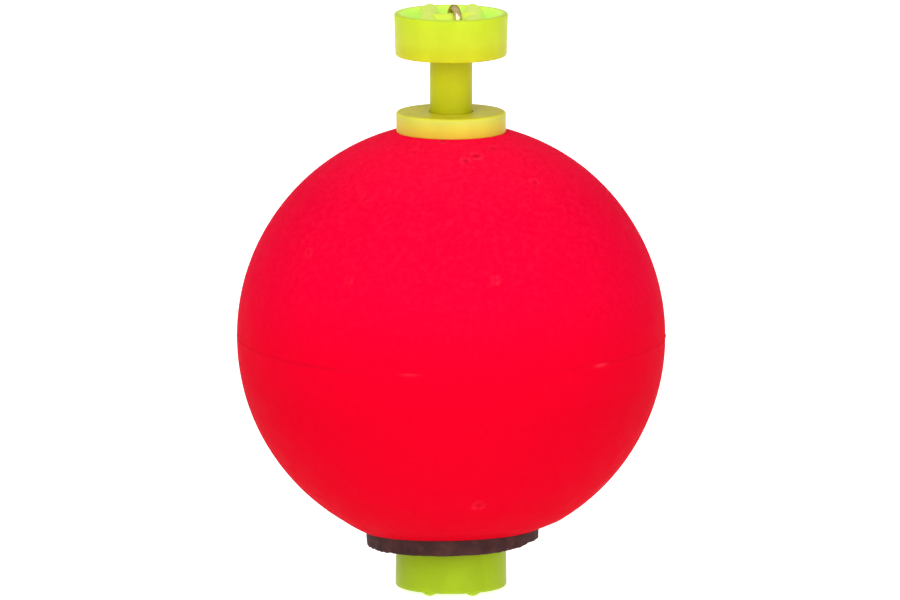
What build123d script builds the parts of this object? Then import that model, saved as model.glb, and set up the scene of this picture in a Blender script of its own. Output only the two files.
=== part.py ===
from build123d import *
import math
import os

# A push-button bobber float: a foam ball on a plastic guide tube, with a sprung plunger and a wire
# with a hook at each end. Millimetres. +Z runs up the float's axis, towards the button. The
# origin is on the axis at the foot of the float, level with the tips of the lower cap's ribs.

# Foam ball
BALL_DIAMETER = 50.8  # a 2 inch float
TOP_FLAT_HEIGHT = 24.5  # from the ball's centre up to the flat that carries the flange
BOTTOM_FLAT_DEPTH = 23.1  # from the ball's centre down to the flat that meets the weight
BALL_EDGE_ROUND = 0.2
FLASH_WIDTH = 0.5  # the line left round the equator by the two halves of the mould
FLASH_HEIGHT = 0.08

# Guide tube, with the flange at its top
TUBE_OUTER_RADIUS = 3.9
FLANGE_RADIUS = 6.5
FLANGE_HEIGHT = 2.4
FLANGE_EDGE_ROUND = 0.25
GLUE_GAP = 0.1  # radial, between the tube and what is threaded on it
SPIGOT_GLUE_GAP = 0.02  # radial, between the lower cap's spigot and the tube

# Weight ring
RING_RADIUS = 10.25
RING_THICKNESS = 1.7
RING_EDGE_ROUND = 0.2

# Plunger: a button on a stem, moulded in one
BUTTON_RIM_RADIUS = 6.75
BUTTON_BASE_RADIUS = 6.6
BUTTON_HEIGHT = 5.1
STEM_RADIUS = 2.525
STEM_LENGTH = 31.5
STEM_ROUND = 0.3  # where the stem meets the button
STEM_CLEARANCE = 0.08  # radial running clearance in the guide tube
BUTTON_GAP = 6.7  # from the flange up to the button, at rest

# Lower cap, glued to the foot of the tube
CAP_RIM_RADIUS = 6.58
CAP_BASE_RADIUS = 6.52
CAP_HEIGHT = 5.2
SPIGOT_LENGTH = 7.0

# The button and the lower cap have the same recess, crossed by two ribs. A short bridge between
# the ribs fits under the hook's bend, and the line is pinched there.
RECESS_DEPTH = 3.0
RIM_THICKNESS = 0.95
RIM_ROUND = 0.25
RIB_WIDTH = 2.2
RIB_SPACING = 5.2  # between the two ribs' middle planes
RIB_PROUD = 0.4  # the lower cap's rib crowns stand this far out of its rim, and it stands on them
BUTTON_RIB_FRONT = -0.15  # height of the button's rib crowns over its rim at the front (-Y)
BUTTON_RIB_BACK = 0.3  # and at the back
RIB_INSET = 0.2  # the ribs' ends stop this far inside the outer wall

# Wire with a hook at each end
WIRE_RADIUS = 0.475
WIRE_CLEARANCE = 0.08  # radial running clearance of the wire in its bores
HOOK_SPAN = 2.6  # between the shank and a hook's free leg
TOP_HOOK_PROUD = 1.15  # the upper hook stands this far out of the button's rim
BOTTOM_HOOK_PROUD = 0.35  # the lower hook stays just inside the tips of the cap's ribs
HOOK_LEG = 1.2  # the straight end of each hook, past its bend
PINCH_GAP = 0.05  # between a hook's bend and the bridge under it
HOOK_ANGLE = -72.0  # degrees about Z, from +X to the upper hook's free leg

# Return spring
SPRING_WIRE_RADIUS = 0.2
SPRING_MEAN_RADIUS = 1.95
SPRING_COILS = 10
SPRING_END_GAP = 0.05

# Heights along the axis
CAP_RIM_Z = RIB_PROUD
CAP_TOP_Z = CAP_RIM_Z + CAP_HEIGHT
RING_TOP_Z = CAP_TOP_Z + RING_THICKNESS
BALL_CENTRE_Z = RING_TOP_Z + BOTTOM_FLAT_DEPTH
BALL_TOP_Z = BALL_CENTRE_Z + TOP_FLAT_HEIGHT
FLANGE_TOP_Z = BALL_TOP_Z + FLANGE_HEIGHT
BUTTON_BASE_Z = FLANGE_TOP_Z + BUTTON_GAP
BUTTON_RIM_Z = BUTTON_BASE_Z + BUTTON_HEIGHT
STEM_END_Z = BUTTON_BASE_Z - STEM_LENGTH
SPIGOT_TOP_Z = CAP_TOP_Z + SPIGOT_LENGTH

TUBE_BORE_RADIUS = STEM_RADIUS + STEM_CLEARANCE
WIRE_BORE_RADIUS = WIRE_RADIUS + WIRE_CLEARANCE
THREADED_BORE_RADIUS = TUBE_OUTER_RADIUS + GLUE_GAP  # in the ball and in the weight

RISING = (Align.CENTER, Align.CENTER, Align.MIN)


def rod(radius, low, high):
    """A round bar on the axis, between two heights."""
    return Pos(0, 0, low) * Cylinder(radius, high - low, align=RISING)


def edges_at(solid, height, radius):
    """The full circles of one radius on the axis, at one height."""
    return [
        edge
        for edge in solid.edges().filter_by(GeomType.CIRCLE)
        if abs(edge.radius - radius) < 1e-3 and abs(edge.arc_center.Z - height) < 1e-3
    ]


def foam_ball():
    """The ball, flattened at both poles, with a mould line round its equator."""
    radius = BALL_DIAMETER / 2
    ball = Pos(0, 0, BALL_CENTRE_Z) * Sphere(radius)
    ball &= rod(radius, RING_TOP_Z, BALL_TOP_Z)
    ball = fillet([edge for edge in ball.edges().filter_by(GeomType.CIRCLE)], BALL_EDGE_ROUND)
    flash = Plane.XZ * Polygon(
        (radius - FLASH_WIDTH, FLASH_WIDTH),
        (radius - FLASH_WIDTH, -FLASH_WIDTH),
        (radius + FLASH_HEIGHT, 0),
        align=None,
    )
    ball += Pos(0, 0, BALL_CENTRE_Z) * revolve(flash, Axis.Z)
    return ball - rod(THREADED_BORE_RADIUS, RING_TOP_Z, BALL_TOP_Z)


def guide_tube():
    """The tube through the ball, with the flange that stops it at the top."""
    tube = rod(TUBE_OUTER_RADIUS, CAP_TOP_Z, BALL_TOP_Z) + rod(FLANGE_RADIUS, BALL_TOP_Z, FLANGE_TOP_Z)
    tube = fillet(edges_at(tube, FLANGE_TOP_Z, FLANGE_RADIUS), FLANGE_EDGE_ROUND)
    return tube - rod(TUBE_BORE_RADIUS, CAP_TOP_Z, FLANGE_TOP_Z)


def weight_ring():
    """The cast weight, clamped between the ball and the lower cap."""
    ring = rod(RING_RADIUS, CAP_TOP_Z, RING_TOP_Z)
    ring = fillet(edges_at(ring, CAP_TOP_Z, RING_RADIUS), RING_EDGE_ROUND)
    return ring - rod(THREADED_BORE_RADIUS, CAP_TOP_Z, RING_TOP_Z)


def rib(radius, floor, front, back):
    """A round-topped bar along Y, whose crown runs from one height at -Y to another at +Y."""
    crown_radius = RIB_WIDTH / 2
    middle = (front + back) / 2 - crown_radius
    wall = Pos(0, 0, (floor - middle) / 2) * Box(RIB_WIDTH, 3 * radius, middle - floor)
    crown = Rot(90, 0, 0) * Cylinder(crown_radius, 3 * radius)
    slope = math.degrees(math.atan2(back - front, 2 * radius))
    return Pos(0, 0, middle) * Rot(slope, 0, 0) * (wall + crown)


def bridge(rim, hook_proud, hook_angle):
    """The saddle under a hook's bend, from rib to rib and down to the recess floor."""
    crown_radius = HOOK_SPAN / 2 - WIRE_RADIUS - PINCH_GAP
    crown_height = rim + hook_proud - WIRE_RADIUS - HOOK_SPAN / 2
    drop = crown_height - (rim - RECESS_DEPTH)
    crown = Rot(90, 0, 0) * Cylinder(crown_radius, RIB_SPACING)
    wall = Pos(0, 0, -drop / 2) * Box(2 * crown_radius, RIB_SPACING, drop)
    return Rot(0, 0, hook_angle) * Pos(HOOK_SPAN / 2, 0, crown_height) * (crown + wall)


def ribbed_cup(base_radius, rim_radius, height, rib_front, rib_back, hook_proud, hook_angle):
    """A shallow cup, open upwards, with its base at zero: a round recess crossed by two ribs."""
    cup = Cone(base_radius, rim_radius, height, align=RISING)
    cup = fillet([edge for edge in cup.edges().filter_by(GeomType.CIRCLE)], RIM_ROUND)
    floor = height - RECESS_DEPTH
    inner_radius = rim_radius - RIM_THICKNESS
    cup -= rod(inner_radius, floor, height)
    cup = fillet(edges_at(cup, height, inner_radius), RIM_ROUND)
    bar = rib(rim_radius, floor - RIM_ROUND, height + rib_front, height + rib_back)
    trim = rod(base_radius - RIB_INSET, floor - RIM_ROUND / 2, 2 * height)
    for side in (-1, 1):
        cup += Pos(side * RIB_SPACING / 2, 0, 0) * bar & trim
    return cup + bridge(height, hook_proud, hook_angle)


def plunger():
    """The button and its stem, bored for the wire."""
    button = Pos(0, 0, BUTTON_BASE_Z) * ribbed_cup(
        BUTTON_BASE_RADIUS, BUTTON_RIM_RADIUS, BUTTON_HEIGHT,
        BUTTON_RIB_FRONT, BUTTON_RIB_BACK, TOP_HOOK_PROUD, HOOK_ANGLE,
    )
    body = button + rod(STEM_RADIUS, STEM_END_Z, BUTTON_BASE_Z)
    body = fillet(edges_at(body, BUTTON_BASE_Z, STEM_RADIUS), STEM_ROUND)
    return body - rod(WIRE_BORE_RADIUS, STEM_END_Z, BUTTON_RIM_Z + TOP_HOOK_PROUD)


def bottom_cap():
    """The cup under the weight, with the spigot that goes up into the tube."""
    cup = Pos(0, 0, CAP_TOP_Z) * Rot(180, 0, 0) * ribbed_cup(
        CAP_BASE_RADIUS, CAP_RIM_RADIUS, CAP_HEIGHT,
        RIB_PROUD, RIB_PROUD, BOTTOM_HOOK_PROUD, -180 - HOOK_ANGLE,
    )
    body = cup + rod(TUBE_BORE_RADIUS - SPIGOT_GLUE_GAP, CAP_TOP_Z, SPIGOT_TOP_Z)
    return body - rod(WIRE_BORE_RADIUS, 0, SPIGOT_TOP_Z)


def hook_wire():
    """One wire: a straight shank on the axis, bent over into a hook at each end."""
    bend = HOOK_SPAN / 2
    top_bend_z = BUTTON_RIM_Z + TOP_HOOK_PROUD - WIRE_RADIUS - bend
    bottom_bend_z = CAP_RIM_Z - BOTTOM_HOOK_PROUD + WIRE_RADIUS + bend
    top_tip_z = top_bend_z - HOOK_LEG
    bottom_tip_z = bottom_bend_z + HOOK_LEG
    top_leg = Line((HOOK_SPAN, 0, top_tip_z), (HOOK_SPAN, 0, top_bend_z))
    top_arch = ThreePointArc((HOOK_SPAN, 0, top_bend_z), (bend, 0, top_bend_z + bend), (0, 0, top_bend_z))
    shank = Line((0, 0, top_bend_z), (0, 0, bottom_bend_z))
    bottom_arch = ThreePointArc(
        (0, 0, bottom_bend_z), (-bend, 0, bottom_bend_z - bend), (-HOOK_SPAN, 0, bottom_bend_z)
    )
    bottom_leg = Line((-HOOK_SPAN, 0, bottom_bend_z), (-HOOK_SPAN, 0, bottom_tip_z))
    path = Wire([top_leg, top_arch, shank, bottom_arch, bottom_leg])
    section = Pos(HOOK_SPAN, 0, top_tip_z) * Circle(WIRE_RADIUS)
    return Rot(0, 0, HOOK_ANGLE) * sweep(section, path=path)


def return_spring():
    """The compression spring in the tube, between the cap's spigot and the plunger's stem."""
    low = SPIGOT_TOP_Z + SPRING_END_GAP + SPRING_WIRE_RADIUS
    high = STEM_END_Z - SPRING_END_GAP - SPRING_WIRE_RADIUS
    coil = Helix((high - low) / SPRING_COILS, high - low, SPRING_MEAN_RADIUS)
    section = Plane(coil @ 0, z_dir=coil % 0) * Circle(SPRING_WIRE_RADIUS)
    return Pos(0, 0, low) * sweep(section, path=coil, is_frenet=True)


parts = {
    "foam_ball": foam_ball(),
    "guide_tube": guide_tube(),
    "weight_ring": weight_ring(),
    "plunger": plunger(),
    "bottom_cap": bottom_cap(),
    "hook_wire": hook_wire(),
    "return_spring": return_spring(),
}

os.makedirs("parts", exist_ok=True)
for name, solid in parts.items():
    export_step(solid, f"parts/{name}.step")
    print(name, "solids", len(solid.solids()), "volume", round(solid.volume, 2))
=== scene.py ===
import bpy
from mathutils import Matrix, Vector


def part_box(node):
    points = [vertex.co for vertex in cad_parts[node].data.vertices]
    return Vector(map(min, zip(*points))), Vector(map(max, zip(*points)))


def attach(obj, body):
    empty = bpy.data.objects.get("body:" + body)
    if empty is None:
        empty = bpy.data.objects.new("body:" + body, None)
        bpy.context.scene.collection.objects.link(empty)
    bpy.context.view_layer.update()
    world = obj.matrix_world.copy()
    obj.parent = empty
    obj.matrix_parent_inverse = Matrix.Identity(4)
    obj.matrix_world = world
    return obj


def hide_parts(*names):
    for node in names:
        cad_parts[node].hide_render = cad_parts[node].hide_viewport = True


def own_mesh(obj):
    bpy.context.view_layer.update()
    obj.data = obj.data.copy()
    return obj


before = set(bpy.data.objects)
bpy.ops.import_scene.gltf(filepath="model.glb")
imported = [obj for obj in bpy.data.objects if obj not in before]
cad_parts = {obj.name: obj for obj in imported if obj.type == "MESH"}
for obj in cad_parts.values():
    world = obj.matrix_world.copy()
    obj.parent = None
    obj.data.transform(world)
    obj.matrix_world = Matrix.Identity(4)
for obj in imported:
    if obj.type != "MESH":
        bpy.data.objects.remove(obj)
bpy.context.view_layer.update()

import math

import bmesh
import bpy
from mathutils import Vector, noise

# The looks of a push-button bobber float. Lengths are in millimetres until a mesh is made, when MM
# turns them into metres. Azimuths are in degrees about +Z, from the front (-Y) towards +X.
MM = 0.001


def box_mm(node):
    """The lowest and highest corner of a CAD node, in millimetres."""
    low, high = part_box(node)
    return low / MM, high / MM


# ---------------------------------------------------------------- sizes from the frame
ball_low, ball_high = box_mm("foam_ball")
ring_low, ring_high = box_mm("weight_ring")
tube_low, tube_high = box_mm("guide_tube")
cap_low, cap_high = box_mm("bottom_cap")
plunger_low = box_mm("plunger")[0]
wire_low, wire_high = box_mm("hook_wire")
spring_low, spring_high = box_mm("return_spring")

# ---------------------------------------------------------------- sizes that no box gives
BALL_RADIUS = 25.4
BOTTOM_FLAT_DEPTH = 23.1
BALL_CENTRE = Vector((0, 0, ring_high.z + BOTTOM_FLAT_DEPTH))
THREADED_BORE = 4.0
TUBE_RADIUS = 3.9
TUBE_BORE = 2.605
STEM_RADIUS = 2.525
SPIGOT_RADIUS = 2.585
WIRE_BORE = 0.555
RIB_WIDTH = 2.2
RIB_SPACING = 5.2
RIB_INSET = 0.2
RIB_PROUD = 0.4
BUTTON_RIB_FRONT = -0.15
BUTTON_RIB_BACK = 0.3
BUTTON_GAP = 6.7
BUTTON_HEIGHT = 5.1
BUTTON_BASE_RADIUS = 6.6
BUTTON_RIM_RADIUS = 6.75
CAP_BASE_RADIUS = 6.52
CAP_RIM_RADIUS = 6.58
RECESS_DEPTH = 3.0
RIM_THICKNESS = 0.95
WIRE_RADIUS = 0.475
HOOK_SPAN = 2.6
HOOK_LEG = 1.2
HOOK_AZIMUTH = 18.0
PINCH_GAP = 0.05
SPRING_WIRE = 0.2
SPRING_RADIUS = 1.95
SPRING_TURNS = 10
SUNK = 0.3  # how far inside a recess's floor its ribs and bridge begin

button_base = tube_high.z + BUTTON_GAP
button_rim = button_base + BUTTON_HEIGHT
cap_rim = cap_low.z + RIB_PROUD


# ---------------------------------------------------------------- mesh helpers
SHARP_ANGLE = math.radians(35)  # an edge that turns more than this is shaded as an edge
JOINED_SHARP_ANGLE = math.radians(32)  # the same, on a piece joined from several


def heading(azimuth):
    """The level unit vector at an azimuth in radians."""
    return Vector((math.sin(azimuth), -math.cos(azimuth), 0))


def direction(azimuth, elevation):
    """The unit vector at an azimuth and elevation in degrees."""
    turn, rise = math.radians(azimuth), math.radians(elevation)
    return heading(turn) * math.cos(rise) + Vector((0, 0, math.sin(rise)))


def rounded(corners, steps=5):
    """A closed outline in (radius, height) from corners (radius, height, rounding)."""
    outline = []
    for index, (radius, height, rounding) in enumerate(corners):
        here = Vector((radius, height))
        if rounding == 0:
            outline.append(here)
            continue
        to_last = (Vector(corners[index - 1][:2]) - here).normalized()
        to_next = (Vector(corners[(index + 1) % len(corners)][:2]) - here).normalized()
        half = to_last.angle(to_next) / 2
        centre = here + (to_last + to_next).normalized() * rounding / math.sin(half)
        start = here + to_last * rounding / math.tan(half) - centre
        end = here + to_next * rounding / math.tan(half) - centre
        first = math.atan2(start.y, start.x)
        turn = (math.atan2(end.y, end.x) - first + math.pi) % math.tau - math.pi
        for step in range(steps + 1):
            angle = first + turn * step / steps
            outline.append(centre + Vector((math.cos(angle), math.sin(angle))) * rounding)
    return outline


def spaced(outline, longest):
    """The closed outline, with points added so that no side is longer than this."""
    points = []
    for index, here in enumerate(outline):
        after = outline[(index + 1) % len(outline)]
        parts = max(1, math.ceil((after - here).length / longest))
        points += [here.lerp(after, part / parts) for part in range(parts)]
    return points


def solid(name, points, faces):
    """A closed mesh object from points in millimetres, shaded smooth but for its sharp edges."""
    mesh = bpy.data.meshes.new(name)
    mesh.from_pydata([point * MM for point in points], [], faces)
    work = bmesh.new()
    work.from_mesh(mesh)
    bmesh.ops.recalc_face_normals(work, faces=work.faces)
    work.to_mesh(mesh)
    work.free()
    mesh.shade_smooth()
    mesh.set_sharp_from_angle(angle=SHARP_ANGLE)
    piece = bpy.data.objects.new(name, mesh)
    bpy.context.scene.collection.objects.link(piece)
    return piece


def loops_to_faces(loops, size, closed):
    """Quads between equal loops of points, joined end to end if closed."""
    faces = []
    for loop in range(loops if closed else loops - 1):
        following = (loop + 1) % loops
        for index in range(size):
            after = (index + 1) % size
            faces.append((
                loop * size + index, loop * size + after,
                following * size + after, following * size + index,
            ))
    return faces


def lathe(name, outline, sides, shape):
    """A solid of revolution about Z. shape(point, azimuth) moves each of its points."""
    points = []
    for side in range(sides):
        azimuth = math.tau * side / sides
        for radius, height in outline:
            point = heading(azimuth) * radius + Vector((0, 0, height))
            points.append(shape(point, azimuth))
    return solid(name, points, loops_to_faces(sides, len(outline), True))


def swept(name, path, radius, sides, end_share):
    """A round bar along a path. Each end narrows, over a short bevel, to a share of the radius."""
    bevel = radius * (1 - end_share) / 2
    last = len(path) - 1
    across = (path[1] - path[0]).orthogonal().normalized()
    rings = []  # the middle of each ring, its two directions, and its share of the radius
    for index, centre in enumerate(path):
        ahead = (path[min(index + 1, last)] - path[max(index - 1, 0)]).normalized()
        across = (across - ahead * across.dot(ahead)).normalized()
        other = ahead.cross(across)
        if index == 0:
            rings += [(centre, across, other, end_share), (centre + ahead * bevel, across, other, 1)]
        elif index == last:
            rings += [(centre - ahead * bevel, across, other, 1), (centre, across, other, end_share)]
        else:
            rings.append((centre, across, other, 1))
    points = []
    for middle, across, other, share in rings:
        for side in range(sides):
            turn = math.tau * side / sides
            outward = across * math.cos(turn) + other * math.sin(turn)
            points.append(middle + outward * radius * share)
    faces = loops_to_faces(len(rings), sides, False)
    faces += [tuple(range(sides)), tuple(range(len(points) - sides, len(points)))]
    return solid(name, points, faces)


def union(base, others):
    """Joins the others to base, as one closed mesh."""
    for other in others:
        step = base.modifiers.new("join", "BOOLEAN")
        step.operation, step.solver, step.object = "UNION", "EXACT", other
    bpy.context.view_layer.update()
    mesh = bpy.data.meshes.new_from_object(base.evaluated_get(bpy.context.evaluated_depsgraph_get()))
    base.modifiers.clear()
    base.data = mesh
    for other in others:
        bpy.data.objects.remove(other)
    mesh.shade_smooth()
    mesh.set_sharp_from_angle(angle=JOINED_SHARP_ANGLE)


# ---------------------------------------------------------------- material helpers
def linear(red, green, blue):
    """A display colour, 0 to 255, as a linear colour with alpha."""
    shares = [channel / 255 for channel in (red, green, blue)]
    return [
        share / 12.92 if share <= 0.04045 else ((share + 0.055) / 1.055) ** 2.4
        for share in shares
    ] + [1.0]


class Finish:
    """A procedural material, with shorthand for its nodes."""

    def __init__(self, name):
        self.material = bpy.data.materials.new(name)
        self.material.use_nodes = True
        self.tree = self.material.node_tree
        self.shader = self.tree.nodes["Principled BSDF"]
        self.place = self.tree.nodes.new("ShaderNodeTexCoord").outputs["Object"]
        self.bump_height = None

    def set(self, **values):
        """Constant values on the shader's own sockets."""
        for name, value in values.items():
            self.shader.inputs[name.replace("_", " ")].default_value = value

    def link(self, output, socket):
        """Leads a node's output to one of the shader's sockets."""
        self.tree.links.new(output, self.shader.inputs[socket])

    def noise(self, size, detail, stretch=(1, 1, 1)):
        """Noise whose features are about this many millimetres across."""
        mapping = self.tree.nodes.new("ShaderNodeMapping")
        mapping.inputs["Scale"].default_value = stretch
        self.tree.links.new(self.place, mapping.inputs["Vector"])
        node = self.tree.nodes.new("ShaderNodeTexNoise")
        node.inputs["Scale"].default_value = 1 / (size * MM)
        node.inputs["Detail"].default_value = detail
        node.inputs["Roughness"].default_value = 0.55
        self.tree.links.new(mapping.outputs["Vector"], node.inputs["Vector"])
        return node.outputs["Fac"]

    def height(self, low, high):
        """0 at one height in millimetres, rising to 1 at another."""
        axes = self.tree.nodes.new("ShaderNodeSeparateXYZ")
        self.tree.links.new(self.place, axes.inputs["Vector"])
        node = self.tree.nodes.new("ShaderNodeMapRange")
        node.inputs["From Min"].default_value = low * MM
        node.inputs["From Max"].default_value = high * MM
        self.tree.links.new(axes.outputs["Z"], node.inputs["Value"])
        return node.outputs["Result"]

    def attribute(self, name):
        """A number that store() kept for each point."""
        node = self.tree.nodes.new("ShaderNodeAttribute")
        node.attribute_name = name
        return node.outputs["Fac"]

    def ramp(self, factor, *stops):
        """Colours or greys at places from 0 to 1 along factor."""
        node = self.tree.nodes.new("ShaderNodeValToRGB")
        self.tree.links.new(factor, node.inputs["Fac"])
        elements = node.color_ramp.elements
        while len(elements) < len(stops):
            elements.new(0.5)
        for element, (place, value) in zip(elements, stops):
            element.position = place
            element.color = value if hasattr(value, "__len__") else (value, value, value, 1)
        return node.outputs["Color"]

    def mix(self, factor, first, second, blend="MIX"):
        """first, blended with second by factor. Each is a node's output or a constant."""
        node = self.tree.nodes.new("ShaderNodeMix")
        node.data_type, node.blend_type = "RGBA", blend
        sockets = {socket.identifier: socket for socket in node.inputs}
        for value, key in ((factor, "Factor_Float"), (first, "A_Color"), (second, "B_Color")):
            if isinstance(value, bpy.types.NodeSocket):
                self.tree.links.new(value, sockets[key])
            else:
                sockets[key].default_value = value
        return {socket.identifier: socket for socket in node.outputs}["Result_Color"]

    def bump(self, height, distance):
        """Adds a layer of relief this many millimetres deep."""
        node = self.tree.nodes.new("ShaderNodeBump")
        node.inputs["Distance"].default_value = distance * MM
        node.inputs["Strength"].default_value = 1.0
        self.tree.links.new(height, node.inputs["Height"])
        if self.bump_height:
            self.tree.links.new(self.bump_height, node.inputs["Normal"])
        self.bump_height = node.outputs["Normal"]
        self.link(self.bump_height, "Normal")


# ---------------------------------------------------------------- materials
def red_foam():
    """Fluorescent red paint on fine closed-cell foam: matte, with a faint orange peel and a darker
    mould line. Painted light: paler and pinker towards the top, pale patches there as painted sheen,
    painted shade in its dents, and painted highlights on its nibs and round the rims of its dents."""
    finish = Finish("red_foam")
    rise = finish.height(ball_low.z, ball_high.z)
    # Painted light: darker towards the bottom, paler and pinker towards the top, standing in for the light
    # from above.
    base = finish.ramp(
        rise, (0.0, linear(187, 0, 24)), (0.35, linear(190, 0, 26)), (0.5, linear(200, 0, 31)),
        (0.65, linear(207, 0, 41)), (0.85, linear(216, 1, 45)), (1.0, linear(236, 7, 52)),
    )
    # Painted sheen: pale pink patches, kept almost wholly to the upper half by the height ramp.
    pale = finish.ramp(finish.noise(0.7, 4), (0.45, 0.0), (0.8, 0.16))
    pale = finish.mix(1.0, pale, finish.ramp(rise, (0.5, 0.06), (1.0, 1.0)), "MULTIPLY")
    base = finish.mix(pale, base, linear(255, 48, 84))
    shade = finish.ramp(finish.noise(0.6, 3), (0.28, 0.4), (0.46, 0.0))
    base = finish.mix(shade, base, linear(190, 0, 34))
    # The mould line's own darker paint, and painted shade in the dents.
    base = finish.mix(finish.attribute("seam_and_dent_shade"), base, linear(150, 4, 30))
    # Painted highlights: on the nibs of flash and round the rims of the dents.
    base = finish.mix(finish.attribute("pale"), base, linear(240, 60, 84))
    finish.link(base, "Base Color")
    finish.link(finish.ramp(finish.noise(2.5, 4), (0.3, 0.62), (0.7, 0.76)), "Roughness")
    finish.bump(finish.noise(1.3, 3), 0.05)
    finish.bump(finish.noise(0.4, 2), 0.02)
    finish.set(Specular_IOR_Level=0.01)
    return finish.material


def moulded(name, low, high, stops, gloss, crown=(0, 0, 0)):
    """Soft fluorescent plastic: milky, its colour changing a little with height as painted shade and
    painted red bounce light, another one on the crowns of any ribs, and a painted glow (emission)
    where light gathers in a recess."""
    finish = Finish(name)
    base = finish.ramp(finish.height(low, high), *stops)
    base = finish.mix(finish.attribute("crown"), base, linear(*crown))
    cloud = finish.ramp(finish.noise(4, 3, stretch=(1, 1, 0.5)), (0.32, 0.88), (0.68, 1.0))
    base = finish.mix(1.0, base, cloud, "MULTIPLY")
    fleck = finish.ramp(finish.noise(0.3, 2), (0.72, 1.0), (0.8, 0.85))
    base = finish.mix(1.0, base, fleck, "MULTIPLY")
    finish.link(base, "Base Color")
    # Painted glow: emission standing in for light that gathers in a recess.
    finish.link(finish.attribute("glow"), "Emission Strength")
    finish.link(finish.ramp(finish.noise(1.2, 4), (0.3, gloss), (0.7, gloss + 0.12)), "Roughness")
    finish.bump(finish.noise(0.8, 3), 0.012)
    finish.bump(finish.noise(0.12, 2), 0.003)
    finish.set(
        Subsurface_Weight=0.35,
        Subsurface_Scale=1.2 * MM,
        Subsurface_Radius=(1.0, 0.9, 0.25),
        Specular_IOR_Level=0.09,
        Emission_Color=linear(189, 250, 134),
    )
    return finish.material


def cast_weight():
    """A rough lead casting, painted dark brown."""
    finish = Finish("cast_weight")
    cloud = finish.noise(1.6, 5)
    base = finish.ramp(
        cloud, (0.25, linear(40, 21, 23)), (0.5, linear(54, 31, 31)), (0.8, linear(70, 43, 37)),
    )
    chip = finish.ramp(finish.noise(0.5, 3), (0.72, 0.0), (0.77, 1.0))
    base = finish.mix(chip, base, linear(96, 78, 66))
    finish.link(base, "Base Color")
    finish.link(finish.ramp(finish.noise(0.6, 4), (0.3, 0.6), (0.7, 0.85)), "Roughness")
    finish.bump(finish.noise(0.7, 5), 0.06)
    finish.set(Specular_IOR_Level=0.12)
    return finish.material


def brass_wire():
    """Drawn brass wire: bright, with faint lengthwise scratches and a little tarnish."""
    finish = Finish("brass_wire")
    tarnish = finish.noise(0.7, 4)
    base = finish.ramp(
        tarnish, (0.3, linear(240, 226, 172)), (0.6, linear(206, 182, 116)), (0.8, linear(128, 100, 56)),
    )
    finish.link(base, "Base Color")
    finish.link(finish.ramp(finish.noise(0.5, 3), (0.3, 0.16), (0.7, 0.32)), "Roughness")
    finish.bump(finish.noise(0.08, 2, stretch=(1, 1, 0.06)), 0.004)
    finish.set(Metallic=1.0, Specular_Tint=linear(150, 112, 62))
    return finish.material


def spring_steel():
    """Plated spring wire."""
    finish = Finish("spring_steel")
    base = finish.ramp(finish.noise(0.8, 3), (0.3, linear(196, 198, 202)), (0.7, linear(150, 152, 158)))
    finish.link(base, "Base Color")
    finish.link(finish.ramp(finish.noise(0.4, 3), (0.3, 0.22), (0.7, 0.38)), "Roughness")
    finish.bump(finish.noise(0.1, 2), 0.003)
    finish.set(Metallic=1.0)
    return finish.material


def place(piece, body, slot, material, node):
    """Gives a piece its material, parents it to the body it moves with, and hides the CAD node it stands
    for.
    """
    piece.data.materials.clear()
    piece.data.materials.append(material)
    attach(piece, body)
    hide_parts(node)


def store(piece, name, values):
    """Keeps one number a point, for the material to use."""
    attribute = piece.data.attributes.new(name, "FLOAT", "POINT")
    attribute.data.foreach_set("value", values)


# ---------------------------------------------------------------- foam ball
SEAM_TILT = math.radians(1.4)  # the mould line is this much lower at the front
SEAM_WIDTH = 0.13
SEAM_HEIGHT = 0.045
# Small dents in the foam: azimuth and elevation in degrees, radius and depth in millimetres
DENTS = (
    (-7.7, 74, 0.35, 0.06), (8.7, 63.5, 0.40, 0.07), (16.4, 65.6, 0.50, 0.06), (-31, 23, 0.35, 0.03),
    (33, 69.1, 0.35, 0.04), (66, 65.9, 0.35, 0.03), (-10, 58, 0.30, 0.03), (-26.6, 67.4, 0.35, 0.03),
    (13, 24, 0.35, 0.03), (-36, 47, 0.40, 0.03), (40, 53, 0.40, 0.03), (-49, 29, 0.35, 0.03),
    (10, -43, 0.45, 0.04), (128, 40, 0.45, 0.05), (165, 12, 0.40, 0.04), (205, -25, 0.50, 0.05),
    (236, 55, 0.40, 0.04), (262, -8, 0.35, 0.03), (95, -35, 0.45, 0.04), (300, -52, 0.40, 0.04),
)
# Nibs of flash left on the mould line: azimuth in degrees, height and length in millimetres
NIBS = ((44, 0.07, 0.8), (-11, 0.05, 0.9), (90, 0.08, 0.5), (151, 0.05, 0.8), (218, 0.07, 0.6))
TALLEST_RELIEF = 0.075  # nothing stands out further than this
FOAM_WAVE = 0.03
SEAM_MARK = 0.15  # how dark the mould line is
# painted highlight on the nibs of flash
NIB_PAINTED_HIGHLIGHT = 0.35
DENT_PAINTED_SHADE = 8.0  # painted shade in a dent, for each millimetre of its depth
RIM_PAINTED_GLINT = 6.0  # and the painted highlight round its rim, in patches
RIM_PLACE, RIM_SPREAD = 1.4, 0.4  # from the dent's middle, for each millimetre of its radius
FLAT_LEAN = math.tan(math.radians(2.8))  # the lower flat rises this steeply
LEAN_AZIMUTH = math.radians(42)  # towards this side
FLAT_BLEND = 1.5  # the ball's side follows the lean up to this far above the flat
BALL_SIDES = 420
DENT_PLACES = [
    (direction(azimuth, elevation) * BALL_RADIUS, size, depth)
    for azimuth, elevation, size, depth in DENTS
]


def lean(point):
    """How much higher the ball's lower flat and the casting under it are at a point on them."""
    level = Vector((point.x, point.y, 0))
    uphill = level.normalized().dot(heading(LEAN_AZIMUTH))
    return FLAT_LEAN * uphill * (level.length - THREADED_BORE)


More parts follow.
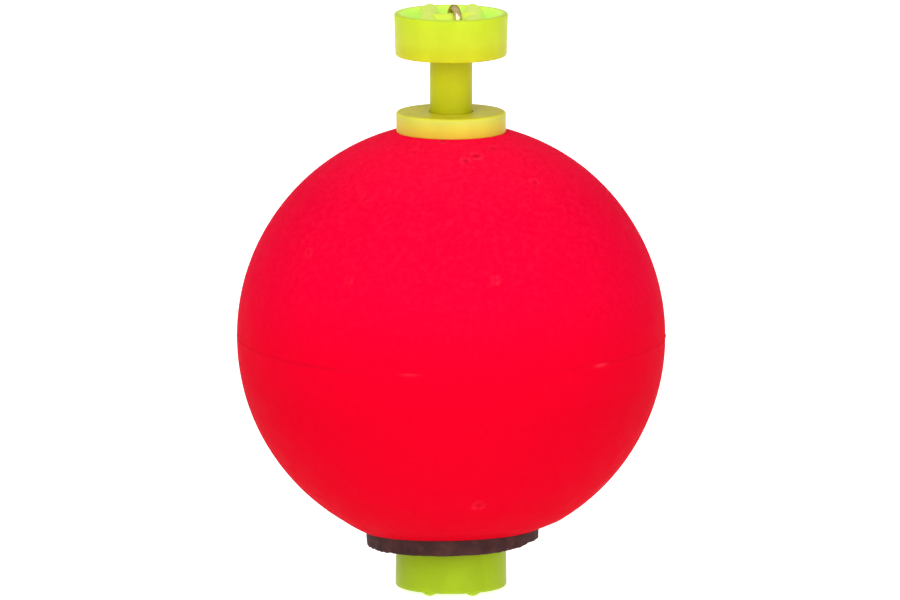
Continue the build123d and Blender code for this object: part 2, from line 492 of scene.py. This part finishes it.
def ball_relief(outward, azimuth):
    """How far the foam stands out along a direction in millimetres, how dark it is (its mould line, and
    painted shade in dents) and how much painted highlight it has (on nibs and round dent rims).
    """
    spot = outward * BALL_RADIUS
    relief = FOAM_WAVE * noise.noise(spot / 9)
    above_seam = spot.z + math.sin(SEAM_TILT) * -spot.y
    swing = noise.noise(Vector((math.sin(azimuth) * 5, math.cos(azimuth) * 5, 1.7)))
    ridge, flash = SEAM_HEIGHT * (0.8 + swing), 0.0
    for nib, height, length in NIBS:
        along = (azimuth - math.radians(nib) + math.pi) % math.tau - math.pi
        near_nib = math.exp(-((along * BALL_RADIUS / length) ** 2))
        ridge += height * near_nib
        flash += near_nib
    near_seam = math.exp(-((above_seam / SEAM_WIDTH) ** 2))
    relief += ridge * near_seam
    seam_and_dent_shade = SEAM_MARK * (1 + swing) * near_seam
    # A painted highlight on each nib.
    pale = NIB_PAINTED_HIGHLIGHT * flash * near_seam
    for centre, size, depth in DENT_PLACES:
        away = (spot - centre).length / size
        if away < 3:
            relief -= depth * math.exp(-away * away)
            # Painted shade in the dent.
            seam_and_dent_shade += DENT_PAINTED_SHADE * depth * math.exp(-away * away)
            glint_breakup = max(0.0, 0.5 + noise.noise(spot * 1.3))
            at_rim = math.exp(-(((away - RIM_PLACE) / RIM_SPREAD) ** 2))
            pale += RIM_PAINTED_GLINT * depth * glint_breakup * at_rim
    return min(TALLEST_RELIEF, relief), min(1.0, seam_and_dent_shade), pale


def ball_outline():
    """The ball's outline: up the round side, in across the top flat and down the bore. Its points
    are close together in a band about the mould line."""
    lowest = math.asin((ring_high.z - BALL_CENTRE.z) / BALL_RADIUS)
    highest = math.asin((ball_high.z - BALL_CENTRE.z) / BALL_RADIUS)
    fine, coarse, band = 0.06, 0.38, 0.75
    outline, rise = [], lowest
    while True:
        outline.append(Vector((math.cos(rise), math.sin(rise))) * BALL_RADIUS + Vector((0, BALL_CENTRE.z)))
        if rise == highest:
            break
        step = fine if abs(rise * BALL_RADIUS) < band else coarse
        rise = min(rise + step / BALL_RADIUS, highest)
    return outline + [Vector((THREADED_BORE, ball_high.z)), Vector((THREADED_BORE, ring_high.z))]


def make_ball():
    """The foam ball, with its mould line, nibs, dents and leaning lower flat."""
    seam_and_dent_shades, painted_highlights = [], []

    def shape(point, azimuth):
        outward = (point - BALL_CENTRE).normalized()
        near_flat = max(0.0, 1 - (point.z - ring_high.z) / FLAT_BLEND)
        rise = Vector((0, 0, lean(point) * near_flat))
        if (point - BALL_CENTRE).length < BALL_RADIUS - 0.01:
            seam_and_dent_shades.append(0.0)
            painted_highlights.append(0.0)
            return point + rise
        relief, seam_and_dent_shade, pale = ball_relief(outward, azimuth)
        seam_and_dent_shades.append(seam_and_dent_shade)
        painted_highlights.append(pale)
        return point + rise + outward * relief

    ball = lathe("ball", ball_outline(), BALL_SIDES, shape)
    # Per point: the mould line's darkness with painted shade in dents, then painted highlights on nibs and
    # dent rims.
    store(ball, "seam_and_dent_shade", seam_and_dent_shades)
    store(ball, "pale", painted_highlights)
    place(ball, "float_body", "red_foam", red_foam(), "foam_ball")


# ---------------------------------------------------------------- button and lower cap
MOULDED_SIDES = 240
RIB_STATIONS = 41
RIB_END_ROUND = 0.45
CROWN_STEPS = 16  # round the half circle on a rib or a bridge
CROWN_DEPTH = 1.3  # the crown's colour reaches this far down from the rim
CROWN_START = 0.3  # and begins this share of the way in across the rim
# Strengths of the painted glow, emission standing in for light that gathers in a recess.
CROWN_GLOW = 0.65  # of the recess's
BUTTON_GLOW = 0.45
CAP_GLOW = 0.2
SLACK = 0.05  # a point this far behind the floor still counts as in the recess


def half_circle():
    """The two coordinates of points round a half circle of radius 1, from +X over to -X."""
    turns = [math.pi * step / CROWN_STEPS for step in range(CROWN_STEPS + 1)]
    return [(math.cos(turn), math.sin(turn)) for turn in turns]


def rib(side, base, front, back, end_radius):
    """A round-topped rib across a cup. Its crown runs from one height at the front to another."""
    half = RIB_WIDTH / 2
    up = 1 if front > base else -1
    section = [(-half, None), (half, None)]  # how far across, and how far below the crown
    section += [(half * level, half * (1 - rise)) for level, rise in half_circle()]
    points = []
    for station in range(RIB_STATIONS):
        share = math.sin(math.pi * (station / (RIB_STATIONS - 1) - 0.5))
        for across, below in section:
            x = side * RIB_SPACING / 2 + across
            reach = math.sqrt(end_radius ** 2 - x ** 2)
            left = max(0.0, RIB_END_ROUND - reach * (1 - abs(share)))
            drop = RIB_END_ROUND - math.sqrt(RIB_END_ROUND ** 2 - left ** 2)
            crown = front + (back - front) * (reach * share / end_radius + 1) / 2
            height = base if below is None else crown - up * (below + drop)
            points.append(Vector((x, reach * share, height)))
    size = len(section)
    faces = loops_to_faces(RIB_STATIONS, size, False)
    faces += [tuple(range(size)), tuple(range(len(points) - size, len(points)))]
    return solid("rib", points, faces)


def bridge(floor, bend_centre, azimuth):
    """The saddle under a hook's bend, from rib to rib and from inside the floor to the bend."""
    radius = HOOK_SPAN / 2 - WIRE_RADIUS - PINCH_GAP
    up = 1 if bend_centre > floor else -1
    outward, along = heading(math.radians(azimuth)), heading(math.radians(azimuth + 90))
    section = [(-radius, floor - up * SUNK), (radius, floor - up * SUNK)]
    section += [(radius * level, bend_centre + up * radius * rise) for level, rise in half_circle()]
    points = []
    for end in (-0.5, 0.5):
        for across, height in section:
            level = outward * (HOOK_SPAN / 2 + across) + along * RIB_SPACING * end
            points.append(level + Vector((0, 0, height)))
    size = len(section)
    faces = loops_to_faces(2, size, False) + [tuple(range(size)), tuple(range(size, 2 * size))]
    return solid("bridge", points, faces)


def recess_glow(piece, floor, rim, outer, strength):
    """Marks a painted glow, emission standing in for light that gathers: in the recess, less on the
    ribs' crowns, and less and less across the rim. The ribs' crowns are marked too, for their own colour."""
    up = 1 if rim > floor else -1
    glow, crown = [], []
    for vertex in piece.data.vertices:
        point = vertex.co / MM
        inside = min(1.0, max(0.0, (outer - math.hypot(point.x, point.y)) / RIM_THICKNESS))
        on_rib = abs(abs(point.x) - RIB_SPACING / 2) < RIB_WIDTH / 2 - 0.01
        crowned = on_rib and (point.z - rim) * up > -CROWN_DEPTH and inside > CROWN_START
        above_floor = (point.z - floor) * up > -SLACK
        light = inside * CROWN_GLOW if crowned else inside
        glow.append(strength * light if above_floor else 0.0)
        crown.append(1.0 if crowned else 0.0)
    store(piece, "glow", glow)
    store(piece, "crown", crown)


WALL_WAVE = 0.025
FLASH_HEIGHT = 0.03
FLASH_WIDTH = 0.12


def mould_line(azimuths, radius_from):
    """A shape for lathe: faint vertical flash lines, and walls that aren't quite true."""
    def shape(point, azimuth):
        level = Vector((point.x, point.y, 0))
        if level.length < radius_from:
            return point
        relief = WALL_WAVE * noise.noise(point / 4)
        for line in azimuths:
            along = (azimuth - math.radians(line) + math.pi) % math.tau - math.pi
            relief += FLASH_HEIGHT * math.exp(-((along * level.length / FLASH_WIDTH) ** 2))
        return point + level.normalized() * relief
    return shape


def make_plunger():
    """The button and its stem, with the two ribs and the bridge in its recess."""
    floor = button_rim - RECESS_DEPTH
    inner = BUTTON_RIM_RADIUS - RIM_THICKNESS
    outline = spaced(rounded([
        (WIRE_BORE, plunger_low.z, 0.1),
        (STEM_RADIUS, plunger_low.z, 0.2),
        (STEM_RADIUS, button_base, 0.3),
        (BUTTON_BASE_RADIUS, button_base, 0.28),
        (BUTTON_RIM_RADIUS, button_rim, 0.28),
        (inner, button_rim, 0.3),
        (inner, floor, 0.25),
        (WIRE_BORE, floor, 0.12),
    ]), 1.0)
    walls = mould_line((14, 194), BUTTON_BASE_RADIUS - 0.2)
    button = lathe("push_button", outline, MOULDED_SIDES, walls)
    ends = BUTTON_BASE_RADIUS - RIB_INSET
    front, back = button_rim + BUTTON_RIB_FRONT, button_rim + BUTTON_RIB_BACK
    ribs = [rib(side, floor - SUNK, front, back, ends) for side in (-1, 1)]
    bend_centre = wire_high.z - WIRE_RADIUS - HOOK_SPAN / 2
    union(button, ribs + [bridge(floor, bend_centre, HOOK_AZIMUTH)])
    recess_glow(button, floor, button_rim, BUTTON_RIM_RADIUS, BUTTON_GLOW)
    stem_share = (button_base - tube_high.z) / (button_rim - tube_high.z)
    # Painted shade and bounce light: the stem is darker and olive as painted shade under the button; the
    # button is yellower at its foot and greener at its rim, as painted red bounce light from the ball.
    stops = (
        (stem_share - 0.01, linear(171, 171, 8)), (stem_share + 0.01, linear(180, 181, 24)),
        (1.0, linear(174, 194, 30)),
    )
    crown = (194, 199, 26)
    material = moulded("chartreuse_plastic", tube_high.z, button_rim, stops, 0.34, crown)
    place(button, "push_button", "chartreuse_plastic", material, "plunger")


def make_cap():
    """The lower cap and its spigot, with the two ribs and the bridge in its recess."""
    floor = cap_rim + RECESS_DEPTH
    inner = CAP_RIM_RADIUS - RIM_THICKNESS
    outline = spaced(rounded([
        (WIRE_BORE, cap_high.z, 0.1),
        (SPIGOT_RADIUS, cap_high.z, 0.2),
        (SPIGOT_RADIUS, tube_low.z, 0),
        (CAP_BASE_RADIUS, tube_low.z, 0.2),
        (CAP_RIM_RADIUS, cap_rim, 0.3),
        (inner, cap_rim, 0.3),
        (inner, floor, 0.25),
        (WIRE_BORE, floor, 0.12),
    ]), 1.0)
    cap = lathe("lower_cap", outline, MOULDED_SIDES, mould_line((35, 215), CAP_BASE_RADIUS - 0.2))
    ends = CAP_BASE_RADIUS - RIB_INSET
    ribs = [rib(side, floor + SUNK, cap_low.z, cap_low.z, ends) for side in (-1, 1)]
    bend_centre = wire_low.z + WIRE_RADIUS + HOOK_SPAN / 2
    union(cap, ribs + [bridge(floor, bend_centre, HOOK_AZIMUTH + 180)])
    recess_glow(cap, floor, cap_rim, CAP_RIM_RADIUS, CAP_GLOW)
    # A darker copy of the chartreuse plastic, as painted shade: the cap sits in the shade under the ball.
    stops = ((0.0, linear(146, 172, 28)), (0.5, linear(141, 168, 18)), (1.0, linear(143, 171, 14)))
    crown = (158, 178, 26)
    material = moulded("lime_plastic", cap_low.z, tube_low.z, stops, 0.36, crown)
    place(cap, "float_body", "lime_plastic", material, "bottom_cap")


# ---------------------------------------------------------------- guide tube
def make_tube():
    """The guide tube and its flange."""
    outline = spaced(rounded([
        (TUBE_BORE, tube_low.z, 0),
        (TUBE_RADIUS, tube_low.z, 0),
        (TUBE_RADIUS, ball_high.z, 0),
        (tube_high.x, ball_high.z, 0.1),
        (tube_high.x, tube_high.z, 0.28),
        (TUBE_BORE, tube_high.z, 0.06),
    ]), 1.0)
    tube = lathe("flanged_tube", outline, MOULDED_SIDES, mould_line((-60, 120), tube_high.x - 0.3))
    # Yellow, turning orange towards the ball as painted red bounce light from it.
    stops = (
        (0.0, linear(201, 167, 48)), (0.5, linear(198, 184, 61)),
        (0.88, linear(188, 191, 77)), (1.0, linear(204, 195, 38)),
    )
    material = moulded("yellow_plastic", ball_high.z, tube_high.z, stops, 0.36)
    place(tube, "float_body", "yellow_plastic", material, "guide_tube")


# ---------------------------------------------------------------- weight ring
CHIP_AZIMUTH = 72.0  # the middle of the worn stretch of the casting's lower edge
CHIP_SPREAD = 24.0
CHIP_DEPTH = 0.38
EDGE_WAVES = ((5, 0.14), (16, 0.12))  # how close together and how high
SIDE_RISE = 0.28  # the lower edge rises this much towards +X
DRAFT = 0.08  # the side is this much further in at the bottom
OFF_CENTRE = 0.16  # the casting stands this far towards +X
CASTING_GRAIN, CASTING_WAVE = 0.05, 0.06
RING_SIDES = 320


def make_ring():
    """The casting. Its top leans with the ball's flat, and its lower edge is ragged at the sides. It
    is true out to a radius just past the cap that bears on it."""
    true_to = cap_high.x + 0.3

    def shape(point, azimuth):
        level = Vector((point.x, point.y, 0))
        around = Vector((math.sin(azimuth), math.cos(azimuth), 0))
        outer = max(0.0, level.length - true_to) / (ring_high.x - true_to)
        lowness = (ring_high.z - point.z) / (ring_high.z - ring_low.z)
        ragged = 0.2 + 0.8 * abs(math.sin(azimuth))
        rise = ragged * sum(high * noise.noise(around * close) for close, high in EDGE_WAVES)
        chipped = math.degrees(azimuth) - CHIP_AZIMUTH
        rise += SIDE_RISE * math.sin(azimuth) + CHIP_DEPTH * math.exp(-((chipped / CHIP_SPREAD) ** 2))
        point = point + Vector((0, 0, lean(point) * (1 - lowness) + rise * lowness * outer))
        relief = CASTING_GRAIN * noise.noise(point / 1.5)
        relief += CASTING_WAVE * noise.noise(around * 4 + Vector((0, 0, 3)))
        outward = level.normalized() * (relief - DRAFT * lowness)
        return point + (outward + Vector((OFF_CENTRE, 0, 0))) * outer

    outline = spaced(rounded([
        (THREADED_BORE, ring_low.z, 0),
        (ring_high.x, ring_low.z, 0.18),
        (ring_high.x, ring_high.z, 0.12),
        (THREADED_BORE, ring_high.z, 0),
    ], 4), 0.3)
    ring = lathe("cast_ring", outline, RING_SIDES, shape)
    place(ring, "float_body", "cast_weight", cast_weight(), "weight_ring")


# ---------------------------------------------------------------- wire and spring
LEG_STEPS = 6
BEND_STEPS = 24
SHANK_STEPS = 60
COIL_STEPS = 32


def wire_path():
    """From the upper hook's tip, over, down the shank, and round to the lower hook's tip."""
    bend = HOOK_SPAN / 2
    leg = heading(math.radians(HOOK_AZIMUTH)) * HOOK_SPAN
    top = wire_high.z - WIRE_RADIUS - bend
    bottom = wire_low.z + WIRE_RADIUS + bend
    top_tip = top - HOOK_LEG
    bottom_tip = bottom + HOOK_LEG
    up = Vector((0, 0, 1))
    path = [leg + up * (top_tip + (top - top_tip) * step / LEG_STEPS) for step in range(LEG_STEPS)]
    for step in range(BEND_STEPS + 1):
        turn = math.pi * step / BEND_STEPS
        path.append(leg / 2 + leg / 2 * math.cos(turn) + up * (top + bend * math.sin(turn)))
    path += [up * (top + (bottom - top) * step / SHANK_STEPS) for step in range(1, SHANK_STEPS)]
    for step in range(BEND_STEPS + 1):
        turn = math.pi * step / BEND_STEPS
        path.append(-leg / 2 + leg / 2 * math.cos(turn) + up * (bottom - bend * math.sin(turn)))
    for step in range(1, LEG_STEPS + 1):
        path.append(-leg + up * (bottom + (bottom_tip - bottom) * step / LEG_STEPS))
    return path


def make_wire():
    """The one wire that ends in both hooks."""
    wire = swept("line_wire", wire_path(), WIRE_RADIUS, 32, 0.7)
    place(wire, "wire", "brass_wire", brass_wire(), "hook_wire")


def coil(first, last):
    """Part of the spring's centre line, from one share of its turns to another."""
    low, high = spring_low.z + SPRING_WIRE, spring_high.z - SPRING_WIRE
    count = int((last - first) * SPRING_TURNS * COIL_STEPS)
    path = []
    for step in range(count + 1):
        share = first + (last - first) * step / count
        turn = share * SPRING_TURNS * math.tau
        path.append(heading(turn) * SPRING_RADIUS + Vector((0, 0, low + (high - low) * share)))
    return path


def make_spring():
    """Two halves that meet end to end, the lower one moving with the float's body and the upper one with
    the wire.
    """
    material = spring_steel()
    middle = (spring_low.z + spring_high.z) / 2
    halves = (
        ("spring_lower", 0.0, 0.5, "float_body", "wire_slide", spring_low.z),
        ("spring_upper", 0.5, 1.0, "wire", "button_slide", middle),
    )
    for name, first, last, body, joint, anchor in halves:
        half = swept(name, coil(first, last), SPRING_WIRE, 12, 0.8)
        place(half, body, "spring_steel", material, "return_spring")
        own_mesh(half)


# ---------------------------------------------------------------- floor, light and camera
def make_floor():
    """A pale, level floor just under the float. Its sizes are in metres."""
    mesh = bpy.data.meshes.new("floor")
    half, floor_z = 3.0, -0.00002
    corners = [(x * half, y * half, floor_z) for x, y in ((-1, -1), (1, -1), (1, 1), (-1, 1))]
    mesh.from_pydata(corners, [], [(0, 1, 2, 3)])
    floor = bpy.data.objects.new("floor", mesh)
    bpy.context.scene.collection.objects.link(floor)
    finish = Finish("pale_floor")
    base = finish.ramp(finish.noise(60, 2), (0.3, linear(244, 244, 244)), (0.7, linear(248, 248, 248)))
    finish.link(base, "Base Color")
    finish.set(
        Roughness=0.9,
        Specular_IOR_Level=0.1,
        Emission_Color=(1, 1, 1, 1),
        Emission_Strength=0.7,
    )
    mesh.materials.append(finish.material)


def soft_light(name, azimuth, elevation, distance, size, power):
    """A square soft box that faces the ball's centre, its distance and size in metres."""
    light = bpy.data.lights.new(name, "AREA")
    light.shape, light.size, light.energy = "SQUARE", size, power
    lamp = bpy.data.objects.new(name, light)
    bpy.context.scene.collection.objects.link(lamp)
    towards = direction(azimuth, elevation)
    lamp.location = BALL_CENTRE * MM + towards * distance
    lamp.rotation_mode = "QUATERNION"
    lamp.rotation_quaternion = towards.to_track_quat("Z", "Y")
    lamp.visible_camera = False


def make_light():
    """Even white surroundings and two soft boxes at the front."""
    world = bpy.data.worlds.new("studio")
    bpy.context.scene.world = world
    world.use_nodes = True
    background = world.node_tree.nodes["Background"]
    background.inputs["Color"].default_value = (1.0, 1.0, 1.0, 1.0)
    background.inputs["Strength"].default_value = 0.7
    soft_light("key", azimuth=-22, elevation=26, distance=1.0, size=0.7, power=5.7)
    soft_light("fill", azimuth=30, elevation=12, distance=1.1, size=0.7, power=4.8)


def make_camera():
    """A long lens, in front of the float and a little above it."""
    elevation, distance = 9.3, 3.0
    millimetres_across = 106.6
    aim_right, aim_above_centre = -0.13, 4.27
    aim = Vector((aim_right, 0, BALL_CENTRE.z + aim_above_centre)) * MM
    back = direction(0, elevation)
    lens = bpy.data.cameras.new("camera")
    lens.sensor_width = 36.0
    lens.lens = lens.sensor_width * distance / (millimetres_across * MM)
    lens.clip_start, lens.clip_end = 0.1, 20.0
    camera = bpy.data.objects.new("camera", lens)
    bpy.context.scene.collection.objects.link(camera)
    camera.location = aim + back * distance
    camera.rotation_mode = "QUATERNION"
    camera.rotation_quaternion = back.to_track_quat("Z", "Y")
    bpy.context.scene.camera = camera


bpy.context.scene.view_settings.view_transform = "Standard"
make_ball()
make_plunger()
make_cap()
make_tube()
make_ring()
make_wire()
make_spring()
make_floor()
make_light()
make_camera()
